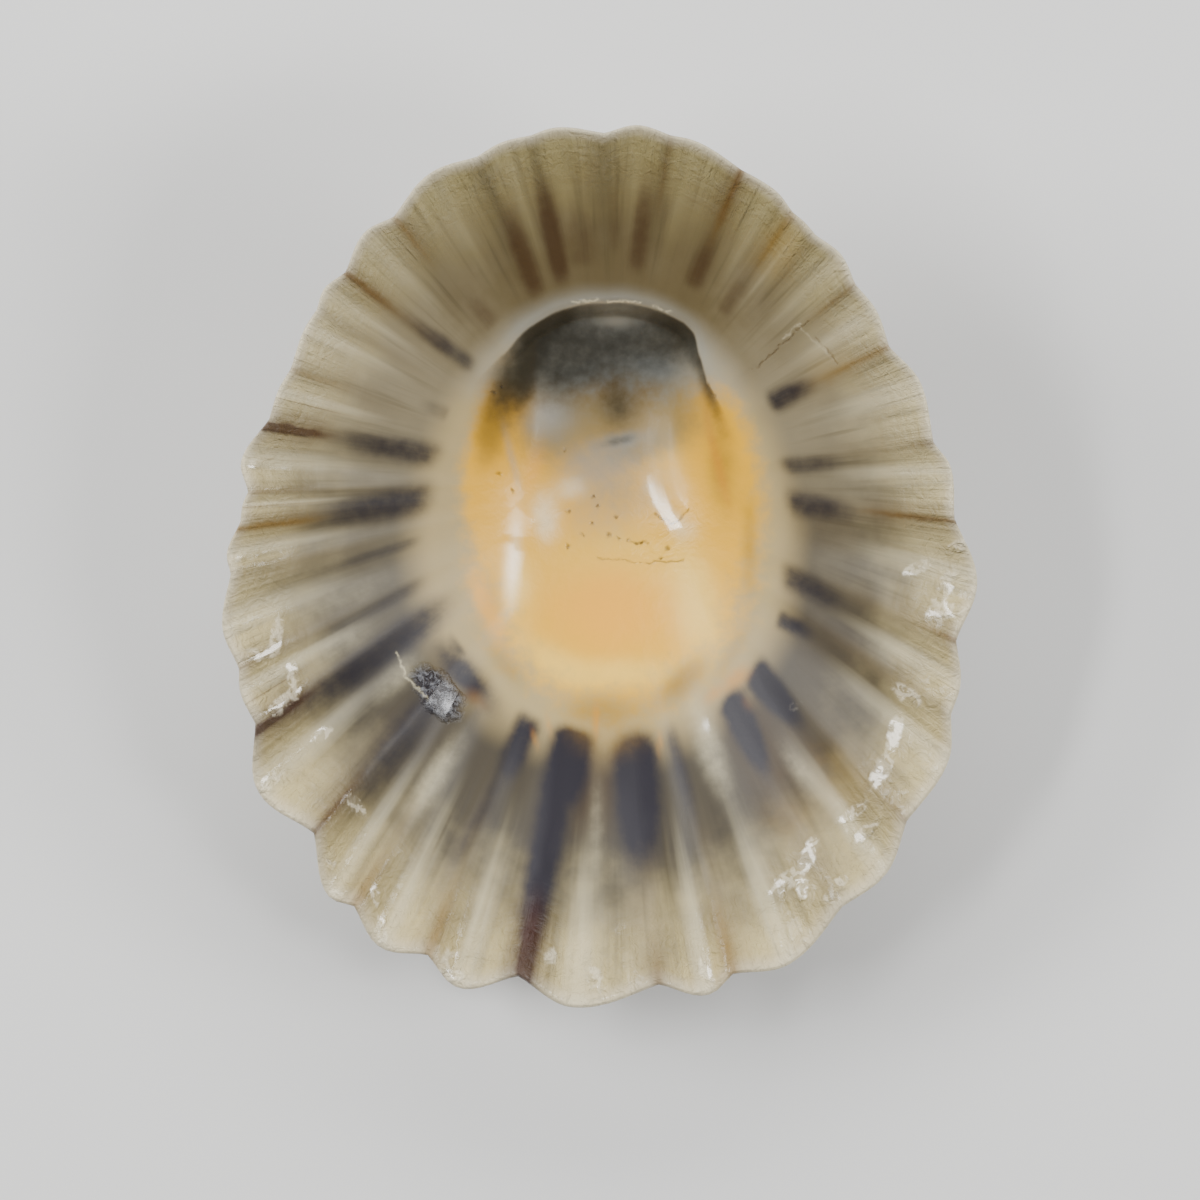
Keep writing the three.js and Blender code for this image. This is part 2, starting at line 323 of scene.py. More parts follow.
BROWN_RAYS = (
    (56, 56, 0.61, 0.78, 2.6, 2, 0.5), (67, 67, 0.62, 0.82, 3, 2, 0.7),
    (83, 83, 0.6, 0.9, 2.8, 1.8, 0.7), (89, 89, 0.65, 0.88, 2, 1.4, 0.4),
    (97.5, 97, 0.61, 0.8, 5, 3.6, 0.45), (103.5, 103, 0.58, 0.9, 2.6, 1.8, 0.95),
    (111.5, 111, 0.57, 0.86, 3, 2, 0.85), (127, 128, 0.56, 0.7, 3, 2.4, 0.5),
    (25.5, 25.5, 0.58, 0.8, 4, 2.5, 0.35), (141, 142, 0.6, 0.86, 2.4, 1.4, 0.5),
    (322, 325, 0.5, 0.95, 10, 11, 0.24), (300, 301, 0.5, 0.86, 9, 8, 0.45),
    (235, 234, 0.5, 0.98, 8, 7, 0.2), (267, 266, 0.5, 0.72, 9, 6, 0.45),
    (350, 350, 0.5, 0.75, 12, 8, 0.3),
)


def rays(places):
    """Rays: each follows a straight middle line from a blunt inner end, narrows on its way and
    fades out over its outer half. To its sides it is full at 0.15 half-widths and gone at 1.75,
    along an S-curve. Where two meet, the darker counts."""
    darkest = np.zeros(len(points))
    for inner_angle, outer_angle, start, end, inner_half, outer_half, darkness in places:
        along = (point_share - start) / (end - start)
        way = np.clip(along, 0, 1)
        across = turned_from(inner_angle + (outer_angle - inner_angle) * way)
        half = inner_half + (outer_half - inner_half) * way
        side = 1 - smooth(0.15, 1.75, np.abs(across) / half)
        ends = smooth(-0.14, 0.14, along) * (1 - smooth(0.45, 1.25, along))
        darkest = np.maximum(darkest, darkness * side * ends)
    return darkest


LINES = (  # angle, share at which it starts, half-width, darkness, warmth: ochre (0) to red-brown (1)
    (6.5, 0.94, 0.12, 0.6, 0.8), (25.5, 0.76, 0.16, 0.6, 0.4), (38.5, 0.84, 0.14, 0.35, 0.4),
    (55.5, 0.82, 0.2, 0.4, 0.1), (67, 0.8, 0.2, 0.9, 0.6), (80, 0.8, 0.16, 0.25, 0.5),
    (129.5, 0.86, 0.16, 0.5, 0.3), (142, 0.82, 0.2, 0.9, 0.6), (161, 0.86, 0.14, 0.4, 0.5),
    (171.2, 0.84, 0.22, 2, 0.9), (182, 0.9, 0.14, 0.35, 0.4), (187.6, 0.8, 0.18, 0.8, 0.2),
    (207, 0.93, 0.14, 0.4, 0.6), (215.4, 0.86, 0.24, 1.6, 1), (230, 0.86, 0.2, 0.8, 0.8),
    (239, 0.9, 0.3, 0.6, 0.2), (249, 0.88, 0.34, 0.6, 0.2), (260.1, 0.86, 0.55, 1.4, 1),
    (275.5, 0.94, 0.3, 0.7, 0.6), (284, 0.88, 0.34, 0.7, 0.1), (311, 0.94, 0.16, 0.4, 0.6),
    (335, 0.92, 0.16, 0.7, 0.6), (353, 0.76, 0.15, 0.8, 0.6),
)
LINE_REACH = 1.6  # millimetres to either side in which a line and its halo show
LINE_RISE = 0.08  # a line comes up over twice this share of the way out


def lines():
    """The nearest line's signed distance, half-width, darkness and warmth. The distance is the
    way out times the sine of the angle between. A line comes up along an S-curve at its start."""
    rows = np.array(LINES)
    between = np.stack([turned_from(row[0]) for row in LINES])
    nearest = np.abs(between).argmin(axis=0)
    turn = np.take_along_axis(between, nearest[None], axis=0)[0]
    offset = np.hypot(plan_x, plan_y) * np.sin(np.radians(turn))
    rise = smooth(-LINE_RISE, LINE_RISE, point_share - rows[nearest, 1]) * (np.abs(turn) < 90)
    reach = 1 - smooth(0.6 * LINE_REACH, LINE_REACH, np.abs(offset))
    return offset, rows[nearest, 2], rows[nearest, 3] * rise * reach, rows[nearest, 4]


def patches(places):
    """Soft ovals: each has its middle, half its length and width, the turn of its length from
    the right, and a strength, which falls off as a bell over the distance in half sizes."""
    total = np.ones(len(points))
    for x, y, half_length, half_width, turn, strength in places:
        cosine, sine = math.cos(math.radians(turn)), math.sin(math.radians(turn))
        along = ((plan_x - x) * cosine + (plan_y - y) * sine) / half_length
        across = ((plan_y - y) * cosine - (plan_x - x) * sine) / half_width
        total *= 1 - strength * np.exp(-(np.hypot(along, across) ** 2.2))
    return 1 - total


point_turn = np.radians(point_angle)
mark("growth", np.stack([np.cos(point_turn), np.sin(point_turn), point_share], axis=-1))
mark("plan", np.stack([plan_x, plan_y, 0 * plan_x], axis=-1))
mark("crest", rib_place(point_angle)[1])
behind_flake = patches([(-7.3, -9.9, 2.4, 0.9, -48, 0.9)])
mark("ray", np.maximum(rays(RAYS), behind_flake))
mark("brown_ray", rays(BROWN_RAYS))
line_offset, line_width, line_darkness, line_warmth = lines()
mark("line_offset", line_offset)
mark("line_width", line_width)
mark("line", line_darkness)
mark("line_warmth", line_warmth)
mark("cream", patches([
    (0.2, -3.4, 7.1, 8.2, 0, 1), (5.2, 0.2, 1.9, 3.6, 0, 0.95), (-5.3, 0.5, 1.8, 3.7, 0, 0.95),
]))
mark("pale", patches([
    (4.3, -6.2, 1.3, 3, 12, 0.8), (0.6, -9.6, 3.4, 0.9, 0, 0.7), (-2.8, -9, 2.4, 0.9, -30, 0.6),
    (0.4, -4.4, 3.6, 2.2, 0, 0.7), (-4.6, -5.4, 0.9, 2, 0, 0.6), (2.9, 1.6, 1.4, 2.4, 0, 0.4),
]))
mark("orange", patches([
    (0, -6.3, 3.4, 2.6, 0, 0.95), (-6.2, -6.4, 2.2, 0.6, -68, 0.7), (-3.8, 0.8, 0.5, 1.6, -15, 0.6),
]))
mark("mustard", patches([
    (-6, 2.6, 0.9, 1.9, -8, 1), (7, -3.2, 0.5, 3, 0, 0.5), (6, -9, 0.5, 2, -30, 0.4),
    (-5.2, -9.4, 0.6, 1.6, 40, 0.5), (3.7, -10.1, 1.7, 0.8, 45, 0.85), (-0.4, -11.6, 2.4, 1, 0, 0.65),
    (0, -13, 2, 1.2, 0, 0.35), (5.6, 0.8, 0.9, 3, 4, 0.6), (-6, -6, 0.8, 2, -5, 0.35),
    (11.6, -15, 3, 1.4, -50, 0.3), (9, -17, 2, 1.4, 0, 0.25), (11, 5.6, 2, 1.4, 35, 0.25),
    (8.4, 11.4, 1.8, 1.4, 50, 0.35),
]))
mark("russet", patches([
    (5.5, 0.6, 2.2, 0.3, -76, 0.75), (4.9, 3, 1.2, 0.3, -85, 0.4), (-0.7, -12, 0.2, 1.1, 0, 0.6),
    (-3.8, -13, 0.2, 0.7, 15, 0.4), (2.5, -13.2, 0.2, 0.8, 0, 0.4), (6.4, -9.9, 0.9, 0.5, 40, 0.6),
    (5.2, -10.8, 0.7, 0.4, 40, 0.5), (6.9, -11.2, 0.35, 0.6, 20, 0.2),
    (-6.7, -11, 0.9, 0.5, -40, 0.25), (-3.1, -12.3, 0.2, 0.8, 10, 0.4),
]))
mark("blue", patches([
    (-0.5, 0.7, 2.2, 1.4, 8, 0.95), (2.2, 5.8, 1.6, 0.7, -15, 0.9), (0.5, 2, 1.4, 0.4, 12, 0.9),
    (-3.2, 3.2, 1.6, 1.2, 0, 0.7), (-4.9, 0.9, 0.25, 2, 14, 0.6), (-1.6, 5.4, 1.6, 0.8, 0, 0.5),
    (-0.4, -1.8, 2.6, 1.8, 0, 0.5), (2.4, -0.2, 1.6, 1.6, 0, 0.35),
]))
# Painted highlights: pale patches where the callus shines, all but the last, which is a pale patch in the
# hollow
mark("pearl_and_painted_sheen", patches([
    (-3.3, -1.8, 0.8, 1.5, 8, 0.8), (-2, -0.4, 0.9, 0.7, 0, 0.6), (2.6, -1.2, 1.7, 0.5, -58, 0.5),
    (-4.8, -4, 0.4, 2.2, -4, 0.6), (3.8, -2.4, 0.9, 0.9, 0, 0.4), (0.3, 8, 1.1, 0.35, 0, 0.3),
]))
mark("sage", patches([
    (-0.3, 3.1, 4, 1.7, 0, 0.9), (1.6, 1.8, 2.4, 1, 20, 0.8), (-2.9, 2.4, 1.8, 1.7, 0, 0.75),
    (3.4, 3.4, 1.8, 1.6, 0, 0.45), (0.2, -0.8, 2.6, 1.2, 0, 0.35), (0, 8.4, 3, 0.5, 0, 0.5),
]))
# The hollow inside the lip: a dark stain, deepened with painted shade of the deep hollow
inside_lip = 1 - smooth(lip_at(point_angle) - 0.008, lip_at(point_angle) + 0.006, point_share)
mark("black_stain_and_shade", inside_lip * patches([
    (-3, 8.1, 2.4, 1.2, 20, 0.9), (3.6, 7.9, 2.4, 1.4, -32, 0.88), (0, 6.9, 5, 1.5, 0, 0.8),
    (-4.2, 5.6, 0.6, 2.6, -14, 0.9), (-5.2, 4.8, 0.9, 2.3, -25, 0.8), (-1.8, 5.6, 2.2, 1.3, 0, 0.55),
    (0.4, 3.6, 1, 1.3, 0, 0.5), (0.4, 2, 1.1, 0.24, 12, 0.5), (4.9, 4.8, 0.35, 2.6, 18, 0.7),
    (1.4, 4.8, 3, 1.6, 0, 0.5), (-3.1, 4.8, 1.8, 1.6, 0, 0.6),
]))
mark("gloss", patches([
    (-4.9, -3.9, 0.42, 2.2, -4, 1), (1.9, -0.6, 1.2, 0.4, -62, 1), (3.2, -2, 1.3, 0.9, -35, 1),
    (-3.3, -1.8, 0.8, 1, 0, 0.5), (0, 8.9, 3.2, 0.3, 0, 0.8), (-7.8, -11.5, 0.6, 0.3, -30, 1),
    (14.3, -12.6, 0.9, 0.35, 75, 1), (13.6, -14.6, 1.1, 0.4, 62, 1), (12.2, -16.7, 0.8, 0.3, 35, 0.9),
    (10, -18.8, 1, 0.35, 70, 1), (8.8, -20.2, 1, 0.4, 40, 1), (9.7, -20.6, 0.6, 0.25, 80, 0.9),
    (16.7, -5.4, 1, 0.4, 60, 1), (16.9, -6.6, 1, 0.35, 10, 1), (15.4, -4.4, 0.8, 0.3, 20, 0.9),
    (4.9, -12.3, 0.2, 0.3, 0, 0.8),
    (9.2, -11.4, 0.3, 0.25, 0, 0.8), (-16.7, -7.7, 0.9, 0.3, 80, 1), (-17.6, -8.7, 0.9, 0.3, 5, 1),
    (-15.9, -9.9, 0.9, 0.3, -79, 1), (-16.5, -11.3, 0.9, 0.35, 39, 1), (-14.5, -12.8, 0.7, 0.25, 30, 1),
    (14.9, -10.8, 0.9, 0.4, -35, 0.9), (12.9, -17.6, 0.9, 0.3, 45, 0.9), (11.4, -20.4, 1, 0.3, 50, 0.9),
    (-12.7, -16.4, 0.7, 0.3, -50, 1), (-14, -19, 0.3, 0.5, 0, 0.9), (-11.5, -22.6, 0.25, 0.7, 0, 1),
    (-8.1, -24.1, 0.8, 0.25, 68, 1), (-7.8, -24.8, 0.5, 0.4, 0, 1), (-0.8, -25, 0.35, 0.6, 0, 1),
    (4.8, -24.5, 0.35, 0.7, 0, 1), (-17, -15, 0.9, 0.3, 40, 0.9), (-13.7, -20.7, 0.5, 0.25, 30, 0.9),
    (-11.8, -20.8, 0.25, 0.5, 0, 0.9), (-3, -24, 0.3, 0.6, -10, 0.8), (17.6, -3.2, 0.9, 0.3, 25, 0.8),
    (-17.8, 0.8, 0.4, 0.2, 0, 0.9), (-18.6, -4, 0.2, 0.2, 0, 0.7),
]))
mark("wrinkled", patches([
    (3.1, -2, 1.5, 1, -35, 1), (-3.3, -1.8, 0.9, 1.2, 0, 0.8), (1.6, -3.6, 2.2, 0.6, 0, 0.5),
]))
mark("flake", patches([(-8.7, -10.7, 1.8, 0.95, -46, 1)]))
mark("milk", patches([
    (5, -13.4, 2.8, 0.8, -72, 0.48), (-0.7, -17.5, 3.2, 0.5, 89, 0.25), (9.6, -14.6, 2, 0.6, -55, 0.35),
    (14.2, -8.6, 2, 0.8, -30, 0.35), (-8.8, -14.9, 2.7, 0.75, 60, 0.46), (-13.6, -8.2, 2, 0.8, 30, 0.35),
    (-13.6, -6, 3.4, 0.8, 24, 0.25), (-10.7, -9.9, 1.8, 0.7, 44, 0.4),
]))


# The inside finish: a thin translucent glaze, olive-grey in the middle of the wall and pale at the
# crinkled margin, with a glossy callus. Small dark pits and a few hairlines mark the callus, and
# a silvery flake sticks to the left wall.
def colour(code):
    """A colour from its usual six-figure code, as the shader's own linear values."""
    parts = [int(code[place:place + 2], 16) / 255 for place in (0, 2, 4)]
    return (*(part / 12.92 if part <= 0.04045 else ((part + 0.055) / 1.055) ** 2.4 for part in parts), 1)


class Value:
    """One output of a shader's node. A sum or product of values adds the Math nodes for it."""

    def __init__(self, finish, socket):
        self.finish = finish
        self.socket = socket

    def maths(self, operation, *values):
        return self.finish.node("ShaderNodeMath", {"operation": operation}, dict(enumerate(values)))

    def __add__(self, other):
        return self.maths("ADD", self, other)

    def __sub__(self, other):
        return self.maths("SUBTRACT", self, other)

    def __rsub__(self, other):
        return self.maths("SUBTRACT", other, self)

    def __mul__(self, other):
        return self.maths("MULTIPLY", self, other)

    def __truediv__(self, other):
        return self.maths("DIVIDE", self, other)

    __radd__ = __add__
    __rmul__ = __mul__

    def least(self, other):
        return self.maths("MINIMUM", self, other)

    def most(self, other):
        return self.maths("MAXIMUM", self, other)

    def exponent(self):
        return self.maths("EXPONENT", self)

    def bell(self, width):
        """1 where this value is 0, falling as a bell curve to 0.37 at the width."""
        way = self / width
        return (way * way * -1).exponent()

    def step(self, low, high):
        """0 at low, 1 at high, along an S-curve."""
        return self.finish.node(
            "ShaderNodeMapRange", {"interpolation_type": "SMOOTHSTEP"},
            {"Value": self, "From Min": low, "From Max": high},
        )


class Finish:
    """A material made of a Principled shader and the nodes that feed it."""

    def __init__(self, name):
        self.material = bpy.data.materials.new(name)
        self.material.use_nodes = True
        self.tree = self.material.node_tree
        self.shader = self.tree.nodes["Principled BSDF"]
        mesh.materials.append(self.material)

    def put(self, socket, value):
        """Links a value to a socket, or sets a plain number or colour on it."""
        if isinstance(value, Value):
            self.tree.links.new(value.socket, socket)
        else:
            socket.default_value = value

    def node(self, kind, settings, sockets, output=0):
        """Adds a node of a kind: its settings first, then what goes into its sockets."""
        made = self.tree.nodes.new(kind)
        for setting, choice in settings.items():
            setattr(made, setting, choice)
        for socket, value in sockets.items():
            self.put(made.inputs[socket], value)
        return Value(self, made.outputs[output])

    def attribute(self, name, output="Fac"):
        """One of the marks: its plain number, or its vector if the output is Vector."""
        return self.node("ShaderNodeAttribute", {"attribute_name": name}, {}, output)

    def vector(self, operation, *values, output="Vector"):
        """Vector maths; for a plain number, such as a distance, the output is Value."""
        return self.node("ShaderNodeVectorMath", {"operation": operation}, dict(enumerate(values)), output)

    def mix(self, factor, under, over):
        """Lays one colour over another, as far as the factor says."""
        return self.node("ShaderNodeMix", {"data_type": "RGBA"}, {0: factor, 6: under, 7: over}, 2)

    def noise(self, place, scale, detail=3, roughness=0.55, distortion=0):
        """Soft spots from 0 to 1: scale is how many stand in one unit of the place."""
        sockets = {"Vector": place, "Scale": scale, "Detail": detail}
        sockets.update({"Roughness": roughness, "Distortion": distortion})
        return self.node("ShaderNodeTexNoise", {}, sockets)

    def bumps(self, height, distance, strength, under=None):
        """Tilts the surface as a height would: distance is the depth in metres where it is 1."""
        sockets = {"Strength": strength, "Distance": distance, "Height": height}
        if under:
            sockets["Normal"] = under
        return self.node("ShaderNodeBump", {}, sockets)

    def finish_with(self, **sockets):
        """Feeds the shader's own sockets, named with underscores for spaces."""
        for name, value in sockets.items():
            self.put(self.shader.inputs[name.replace("_", " ")], value)


# The front colours of the margin and the middle are darker: painted shade of the front wall
MARGIN, MARGIN_SIDE, MARGIN_SHADED_FRONT = colour("bcac7a"), colour("c0b388"), colour("908458")
MID, MID_SIDE, MID_SHADED_FRONT = colour("3f392d"), colour("887e64"), colour("5f5336")
OLIVE, SAGE, VALLEY_TONE, LOBE_WHITE = colour("3d351f"), colour("6e6a52"), colour("6c6048"), colour("d8ceac")
SCAR, SCAR_FRONT, RIM_WHITE = colour("b4a070"), colour("a0a29c"), colour("ccc2aa")
CREAM, PALE, ORANGE, MUSTARD = colour("e9b024"), colour("f8d062"), colour("f8b034"), colour("987418")
BLUE, BLACK_STAIN_AND_SHADE, PEARL_AND_GLINT_WHITE, RUSSET = colour("8e9698"), colour("232219"), colour("fbf0d4"), colour("c8861e")
INDIGO, BROWN, OCHRE, RED_BROWN = colour("1c1922"), colour("3c2710"), colour("7c5c10"), colour("341810")
SILVER, PIT, WRINKLE = colour("7e8086"), colour("2e2820"), colour("4e3a1c")
PITS = (  # dark pinholes in the callus
    (-2.3, 1.6), (-0.85, -0.85), (-0.6, -1.3), (0.35, -1.75), (-0.9, -2.2), (-1.4, -2.7),
    (-0.05, -2.8), (-2.15, -3.3), (-2.1, -1.5), (0.4, -3), (0.95, -2.95), (1.3, -3.1),
    (1.6, -3.15), (2.9, -3.4), (2.6, -3.9), (-4.9, -0.5), (-5.6, 0.3), (-5.9, 4.4), (-5.5, 4.7),
)
PIT_RADIUS = 0.085
HAIRLINES = (  # both ends of each fine crack or wrinkle, and its darkness
    ((7.2, 5.5), (9.9, 7.9), 0.5), ((10.3, 7.1), (11.35, 5.8), 0.4), ((2.3, -1.6), (3.1, -2.2), 0.6),
    ((3.1, -2.2), (3.95, -1.5), 0.6), ((-0.6, -3.95), (1.6, -4.15), 0.35),
    ((1.6, -4.15), (3.7, -4.05), 0.5), ((0.9, -3.05), (1.9, -3.2), 0.5), ((4.9, 4.9), (5.3, 4.2), 0.4),
)
# Pale scratches; the three lines along the lip are painted glints of light on its edge
PALE_SCRATCHES_AND_LIP_GLINTS = (  # both ends of each pale scratch, and its strength
    ((-10.7, -8.7), (-10.3, -9.8), 0.5), ((-10.3, -9.8), (-9.2, -11), 0.5), ((9.4, 7.7), (10.9, 6.2), 0.2),
    ((8.6, 7.1), (9.5, 7.8), 0.3), ((-1.9, 8.9), (-0.6, 9.02), 0.6), ((-0.2, 9.02), (1.5, 8.95), 0.7),
    ((2.1, 8.75), (3, 8.4), 0.5),
)
HAIRLINE_WIDTH, PALE_LINE_WIDTH = 0.06, 0.065
STAIN_EDGE, CALLUS_EDGE = (0.02, 1), (0.25, 0.62)  # where a stain begins to show, and is full
SHAKE = 0.45  # how much the pits, cracks and scratches stray from their drawn places, side to side
FACET_SCALE = 0.9  # how many of the wet margin's shining facets stand in a millimetre
RADIAL_DEPTH, RING_DEPTH, PUCKER_DEPTH = 0.22 * MM, 0.3 * MM, 0.4 * MM
FOIL_DEPTH, CRACK_DEPTH = 0.6 * MM, 0.1 * MM

inside = Finish("glazed_inside")
growth = inside.attribute("growth", "Vector")
plan = inside.attribute("plan", "Vector")
share = inside.node("ShaderNodeSeparateXYZ", {}, {0: growth}, "Z")

# Streaks and rings are noise on the growth mark. Of its three factors the first two say how fine
# the pattern is round the shell, and the third how fine it is along the way out.
streaks = inside.noise(inside.vector("MULTIPLY", growth, (34, 34, 3)), 1, 2)
fine_streaks = inside.noise(inside.vector("MULTIPLY", growth, (90, 90, 7)), 1, 2)
clouds = inside.noise(plan, 0.35, 4)
mottle = inside.noise(plan, 1.6, 3)
speck = inside.noise(plan, 9, 2)

# The ground, from the middle of the wall to its margin, paler at the sides and olive and darker in front,
# the darkness being painted shade of the front wall, which faces away from the lamps; with the grey scar
# round the callus, dark valleys, pale crests and a whitish edge
forwards = inside.node("ShaderNodeSeparateXYZ", {}, {0: growth}, "Y") + (clouds - 0.5) * 0.5
side, front = forwards.step(-0.8, 0.6), forwards.step(0.35, 1.05)
middle_tone = inside.mix(front, inside.mix(side, MID, MID_SIDE), MID_SHADED_FRONT)
margin_tone = inside.mix(front, inside.mix(side, MARGIN, MARGIN_SIDE), MARGIN_SHADED_FRONT)
tone = inside.mix((share + (clouds - 0.5) * 0.25).step(0.68, 1.02), middle_tone, margin_tone)
tone = inside.mix((streaks.step(0.45, 0.75) * share.step(0.5, 0.75)) * 0.45, tone, OLIVE)
tone = inside.mix((1 - share).step(0.42, 0.54) * 0.85, tone, inside.mix(front, SCAR, SCAR_FRONT))
crest = inside.attribute("crest") + (streaks - 0.5) * 0.6
# In front the valleys and crests take darker colours too: painted shade of the front wall
valley_tone = inside.mix(front, VALLEY_TONE, OLIVE)
crest_tone = inside.mix(front, LOBE_WHITE, MARGIN_SHADED_FRONT)
tone = inside.mix((1 - crest).step(0.45, 1) * share.step(0.55, 0.85) * 0.45, tone, valley_tone)
tone = inside.mix(crest.step(0.6, 1.05) * share.step(0.6, 0.92) * 0.5, tone, crest_tone)
tone = inside.mix(share.step(0.955, 0.995) * 0.6, tone, RIM_WHITE)

# The rays under the glaze, and the brown lines with a faint halo each
wander = (mottle - 0.5) * 0.5 + (fine_streaks - 0.5) * 0.12
for name, over, strength in (("brown_ray", BROWN, 0.85), ("ray", INDIGO, 1)):
    dark = inside.attribute(name)
    tone = inside.mix((dark + wander * dark).step(0.05, 0.92) * strength, tone, over)
warmth = inside.attribute("line_warmth")
line_colour = inside.mix(warmth, OCHRE, RED_BROWN)
line_width = inside.attribute("line_width") * (0.7 + mottle * 0.6)
near = (inside.attribute("line_offset") + (mottle - 0.5) * 0.25) / line_width
line = near.bell(1) * inside.attribute("line")
tone = inside.mix(line.least(1) * 0.85, tone, line_colour)
halo = inside.attribute("line") * (near / 4).bell(1)
tone = inside.mix(halo.least(1) * 0.3, tone, line_colour)

# The stains, each laid over the one before and frayed most on its flanks, and the flake. The hollow's black
# is partly painted shade, and the pearl patches are mostly painted highlights
edge_wander = (mottle - 0.5) * 0.7 + (clouds - 0.5) * 0.6
for name, over, strength in (
    ("milk", LOBE_WHITE, 0.9), ("cream", CREAM, 1), ("pale", PALE, 0.85), ("orange", ORANGE, 0.9),
    ("mustard", MUSTARD, 0.9), ("russet", RUSSET, 0.8), ("sage", SAGE, 0.8), ("blue", BLUE, 0.6),
    ("black_stain_and_shade", BLACK_STAIN_AND_SHADE, 0.97), ("pearl_and_painted_sheen", PEARL_AND_GLINT_WHITE, 0.6),
):
    stain = inside.attribute(name)
    spread = stain + edge_wander * stain * (1.4 - stain)
    low, full = CALLUS_EDGE if name == "cream" else STAIN_EDGE
    tone = inside.mix(spread.step(low, full) * strength, tone, over)
flake = inside.attribute("flake") + (mottle - 0.5) * 0.5
flake = flake.step(0.3, 0.7)
crinkle = inside.noise(plan, 1.5, roughness=0.6, distortion=1.5)
foil = inside.noise(plan, 2.6, roughness=0.6, distortion=1.2)
tone = inside.mix(flake * 0.9, tone, inside.mix(foil.step(0.4, 0.62), INDIGO, SILVER))


def line_distance(finish, place, start, end):
    """Distance of a place from a straight line between two points, in millimetres: from the
    place to the nearest point of the line, kept between its ends."""
    run = (end[0] - start[0], end[1] - start[1], 0)
    length_squared = run[0] ** 2 + run[1] ** 2
    offset = finish.vector("SUBTRACT", place, (*start, 0))
    way = finish.vector("DOT_PRODUCT", offset, run, output="Value") / length_squared
    way = way.most(0).least(1)
    reached = finish.node("ShaderNodeVectorMath", {"operation": "SCALE"}, {0: run, "Scale": way})
    return finish.vector("DISTANCE", offset, reached, output="Value")


shaken = inside.node(
    "ShaderNodeVectorMath", {"operation": "SCALE"},
    {0: inside.node("ShaderNodeTexNoise", {}, {"Vector": plan, "Scale": 2.2}, "Color"), "Scale": SHAKE},
)
shaken = inside.vector("ADD", plan, inside.vector("SUBTRACT", shaken, (SHAKE / 2, SHAKE / 2, SHAKE / 2)))
cracks = 0
for start, end, darkness in HAIRLINES:
    cracks = (line_distance(inside, shaken, start, end).bell(HAIRLINE_WIDTH) * darkness).most(cracks)
scratches_and_lip_glints = 0
for start, end, strength in PALE_SCRATCHES_AND_LIP_GLINTS:
    scratches_and_lip_glints = (line_distance(inside, shaken, start, end).bell(PALE_LINE_WIDTH) * strength).most(scratches_and_lip_glints)
pits = 0
for pit in PITS:
    pits = inside.vector("DISTANCE", shaken, (*pit, 0), output="Value").bell(PIT_RADIUS).most(pits)
tone = inside.mix((cracks * 0.9).least(1), tone, WRINKLE)
tone = inside.mix(pits * 0.65, tone, PIT)

# The wet glints: whole patches on the callus, and past it the edges of small facets, which are also painted
# into the colour there as white flecks, a painted highlight
gloss = inside.attribute("gloss")
sparkle = inside.noise(plan, 2, detail=2, roughness=0.5, distortion=1)
facets = inside.node(
    "ShaderNodeTexVoronoi", {"feature": "DISTANCE_TO_EDGE"}, {"Vector": shaken, "Scale": FACET_SCALE},
)
facet_edges = (1 - facets.step(0.04, 0.13)).most(sparkle.step(0.56, 0.63))
crisp = (gloss + (crinkle - 0.5) * 1.2 * gloss).step(0.22, 0.5) * (0.14 + facet_edges * 0.86)
past_callus = share.step(0.6, 0.75)
# Painted highlight: the margin's glints laid into the colour as white flecks
tone = inside.mix(crisp * past_callus * 0.4, tone, PEARL_AND_GLINT_WHITE)
# Pale scratches, and the painted highlights along the lip
tone = inside.mix(scratches_and_lip_glints, tone, LOBE_WHITE)
glints = gloss * (1 - past_callus) + crisp * past_callus

# Relief too fine for the mesh
callus = inside.attribute("cream")
margin = share.step(0.78, 0.95)
radial = inside.noise(inside.vector("MULTIPLY", growth, (60, 60, 1.5)), 1, 3)
rings = inside.noise(inside.vector("MULTIPLY", growth, (3, 3, 42)), 1, 3)
puckers = crinkle * (margin * 0.6 + gloss * margin) + mottle * callus * 0.12
puckers = puckers + crinkle * inside.attribute("wrinkled") * 0.5
normal = inside.bumps(radial * margin, RADIAL_DEPTH, 0.8)
normal = inside.bumps(rings * share.step(0.72, 0.97), RING_DEPTH, 0.4, normal)
normal = inside.bumps(puckers, PUCKER_DEPTH, 0.8, normal)
normal = inside.bumps(foil * flake, FOIL_DEPTH, 0.8, normal)
normal = inside.bumps((pits + cracks) * -1, CRACK_DEPTH, 0.8, normal)
wet_margin = margin * (0.06 + crinkle.step(0.52, 0.6) * 0.2)
inside.finish_with(
    Base_Color=tone,
    Roughness=0.5 - callus * 0.12 + (speck - 0.5) * 0.1,
    Coat_Weight=(glints + callus * 0.05 + wet_margin + flake * 0.14).least(1),
    Coat_Roughness=0.07,
    Specular_IOR_Level=0.35,
    Normal=normal,
)


# The outside finish: dull ribs of tan and grey with dark brown valleys, banded by growth, and
# worn to pale chalk round the apex, where the shell has rubbed on rock and lain on sand.
RIB_TAN, RIB_GREY, VALLEY_BROWN = colour("a8946a"), colour("857a64"), colour("44301e")
BAND_DARK, CHALK, RUST, CREST_PALE = colour("66543a"), colour("c4baa2"), colour("9a683a"), colour("cabc98")
GROWTH_LINE_DEPTH, STRIA_DEPTH, GRIT_DEPTH = 0.25 * MM, 0.3 * MM, 0.2 * MM
MOTTLE_SCALE, GRIT_SCALE = 700, 4200  # spots in a metre

